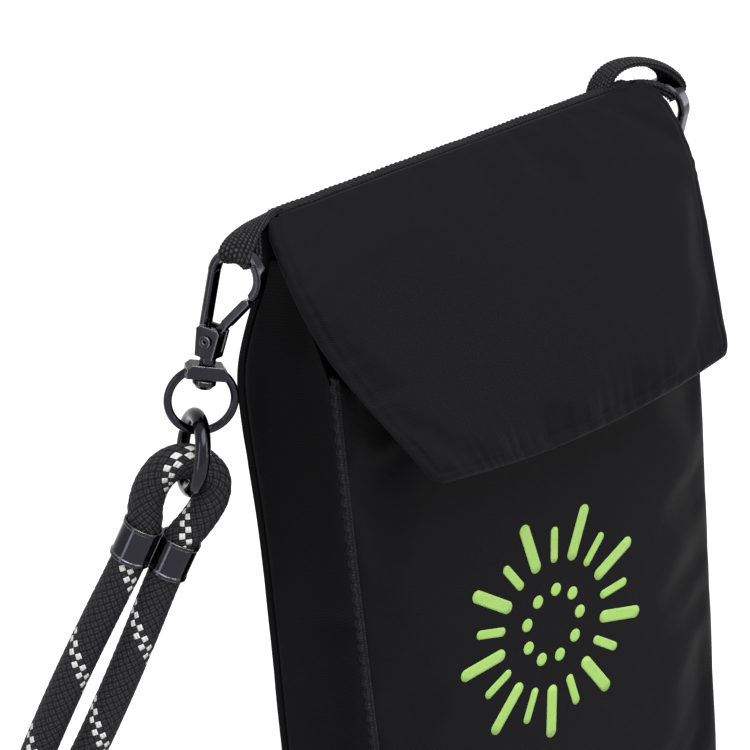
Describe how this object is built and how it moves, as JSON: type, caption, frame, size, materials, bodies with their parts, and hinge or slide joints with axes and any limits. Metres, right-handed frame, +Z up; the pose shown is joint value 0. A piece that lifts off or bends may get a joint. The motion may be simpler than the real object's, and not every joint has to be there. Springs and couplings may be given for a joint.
{
  "type": "phone pouch",
  "caption": "Padded upright phone pouch with a fold-over flap, side gussets, corner webbing loops, snap hooks and a detachable rope strap put away in a coil.",
  "frame": {"origin": "middle of the base panel's underside, where the pouch stands", "axes": "+Z up towards the top tape, -Y out of the front panel, +X to the wearer's left when the front faces away, which is the right of the front seen from outside"},
  "size_m": [0.233, 0.1595, 0.1964],
  "materials": {
    "padded_nylon": "fine matt twill with a slight sheen, padded",
    "lining_nylon": "smooth matt nylon",
    "webbing": "coarse ribbed webbing",
    "rope": "diamond braid with a white checked tracer",
    "black_nickel": "gloss black nickel plate"
  },
  "bodies": {
    "pouch": {"back_panel": "padded_nylon", "front_panel": "padded_nylon", "left_gusset": "lining_nylon", "right_gusset": "lining_nylon", "base_panel": "padded_nylon", "left_seam_binding": "webbing", "right_seam_binding": "webbing", "top_tape": "webbing", "front_hem": "webbing", "left_loop": "webbing", "right_loop": "webbing", "front_magnet": "black_nickel", "left_hook": "black_nickel", "left_hook_rivet": "black_nickel", "left_hook_spring": "black_nickel", "left_swivel_post": "black_nickel", "left_ring": "black_nickel", "left_ring_pin": "black_nickel", "left_ring_clamp": "black_nickel", "left_end_clamp": "black_nickel", "right_hook": "black_nickel", "right_hook_rivet": "black_nickel", "right_hook_spring": "black_nickel", "right_swivel_post": "black_nickel", "right_ring": "black_nickel", "right_ring_pin": "black_nickel", "right_ring_clamp": "black_nickel", "right_end_clamp": "black_nickel", "left_rope": "rope", "rope_coil": "rope", "right_rope": "rope"},
    "flap": {"flap_shell": "padded_nylon", "flap_lining": "lining_nylon", "flap_magnet": "black_nickel"},
    "left_hook_gate": {"left_hook_gate": "black_nickel"},
    "left_eye": {"left_swivel_eye": "black_nickel"},
    "left_ring_gate": {"left_ring_gate": "black_nickel"},
    "right_hook_gate": {"right_hook_gate": "black_nickel"},
    "right_eye": {"right_swivel_eye": "black_nickel"},
    "right_ring_gate": {"right_ring_gate": "black_nickel"}
  },
  "joints": [
    {"name": "flap_hinge", "type": "hinge", "parent": "pouch", "child": "flap", "pos_m": [0, -0.00015, 0.18945], "axis": [-1, 0, 0], "range_deg": [0, 120]},
    {"name": "left_hook_gate_hinge", "type": "hinge", "parent": "pouch", "child": "left_hook_gate", "pos_m": [-0.07708, 0.00532, 0.16502], "axis": [-0.922, -0.3523, 0.1609], "range_deg": [0, 24], "stiffness_Nm_per_rad": 0.01, "springref_deg": -20.05},
    {"name": "left_swivel", "type": "hinge", "parent": "pouch", "child": "left_eye", "pos_m": [-0.07838, 0.00607, 0.15921], "axis": [0.2168, -0.1252, 0.9681], "range_deg": [-15, 50]},
    {"name": "left_ring_gate_hinge", "type": "hinge", "parent": "pouch", "child": "left_ring_gate", "pos_m": [-0.08346, 0.01289, 0.13018], "axis": [0.8788, -0.4068, -0.2494], "range_deg": [0, 20], "stiffness_Nm_per_rad": 0.01, "springref_deg": -20.05},
    {"name": "right_hook_gate_hinge", "type": "hinge", "parent": "pouch", "child": "right_hook_gate", "pos_m": [0.07042, 0.00557, 0.16351], "axis": [0.9498, 0.3101, 0.0427], "range_deg": [0, 24], "stiffness_Nm_per_rad": 0.01, "springref_deg": -20.05},
    {"name": "right_swivel", "type": "hinge", "parent": "pouch", "child": "right_eye", "pos_m": [0.07011, 0.00732, 0.15778], "axis": [0.0523, -0.292, 0.955], "range_deg": [-50, 10]},
    {"name": "right_ring_gate_hinge", "type": "hinge", "parent": "pouch", "child": "right_ring_gate", "pos_m": [0.06577, 0.01791, 0.12978], "axis": [0.5728, 0.7921, 0.2108], "range_deg": [0, 10], "stiffness_Nm_per_rad": 0.01, "springref_deg": -20.05}
  ]
}
